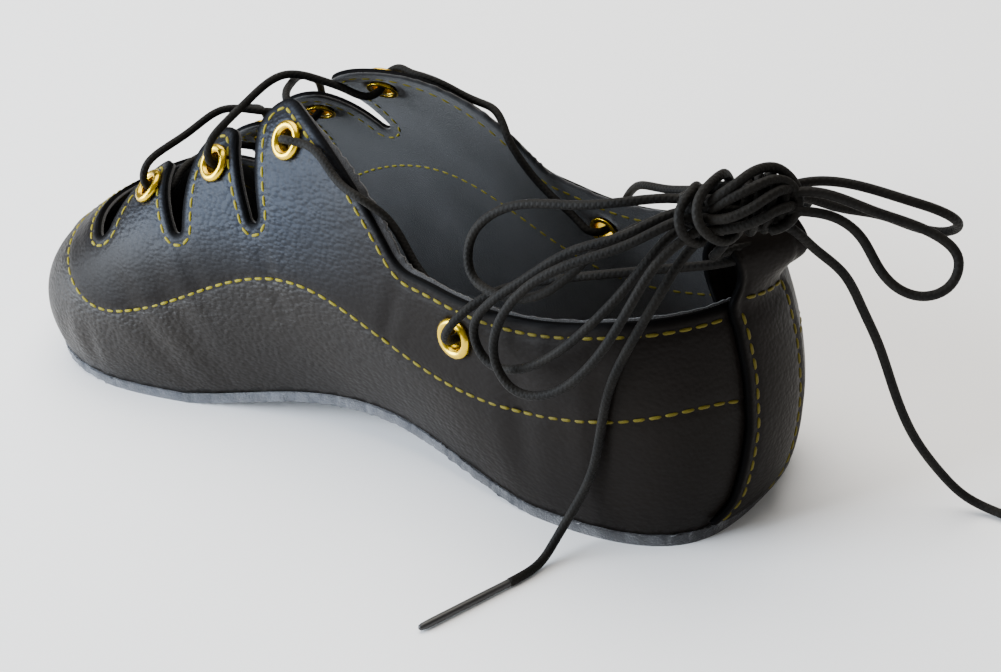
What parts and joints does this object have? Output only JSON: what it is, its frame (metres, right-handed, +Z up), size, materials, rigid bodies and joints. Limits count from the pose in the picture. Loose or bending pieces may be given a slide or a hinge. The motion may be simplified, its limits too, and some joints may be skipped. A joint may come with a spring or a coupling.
{
  "type": "dance pump",
  "caption": "Soft leather lace-up dance pump for the right foot: hollow upper with lacing tabs over the instep, thin full-length suede sole, heel loop and cord tied in a bow at the heel.",
  "frame": {"origin": "bottom centre of the shoe without the free bow and lace ends, on the floor under the sole", "axes": "+X from the heel to the toe, +Y to the inner side of the foot, +Z up"},
  "size_m": [0.3122, 0.111, 0.0796],
  "materials": {
    "leather": "soft black leather, satin",
    "suede": "grey suede, matt",
    "lining": "dark lining, matt",
    "brass": "polished brass",
    "cord": "black round braided cord",
    "tip": "black tip"
  },
  "bodies": {
    "root": {"upper": "leather", "outsole": "suede", "insole": "lining", "heel_strip": "leather", "eyelet_inner_tab_1": "brass", "eyelet_inner_tab_2": "brass", "eyelet_inner_tab_3": "brass", "eyelet_inner_quarter": "brass", "eyelet_outer_tab_1": "brass", "eyelet_outer_tab_2": "brass", "eyelet_outer_tab_3": "brass", "eyelet_outer_quarter": "brass", "lace_bar": "cord", "lace_cross_front": "cord", "lace_cross_back": "cord", "lace_side_inner": "cord", "lace_side_outer": "cord", "lace_heel": "cord", "lace_knot": "cord", "lace_loop_inner_high": "cord", "lace_loop_inner_mid": "cord", "lace_loop_inner_low": "cord", "lace_loop_outer_high": "cord", "lace_loop_outer_low": "cord", "lace_end_inner": "cord", "lace_end_outer": "cord", "aglet_inner": "tip", "aglet_outer": "tip"}
  },
  "joints": []
}
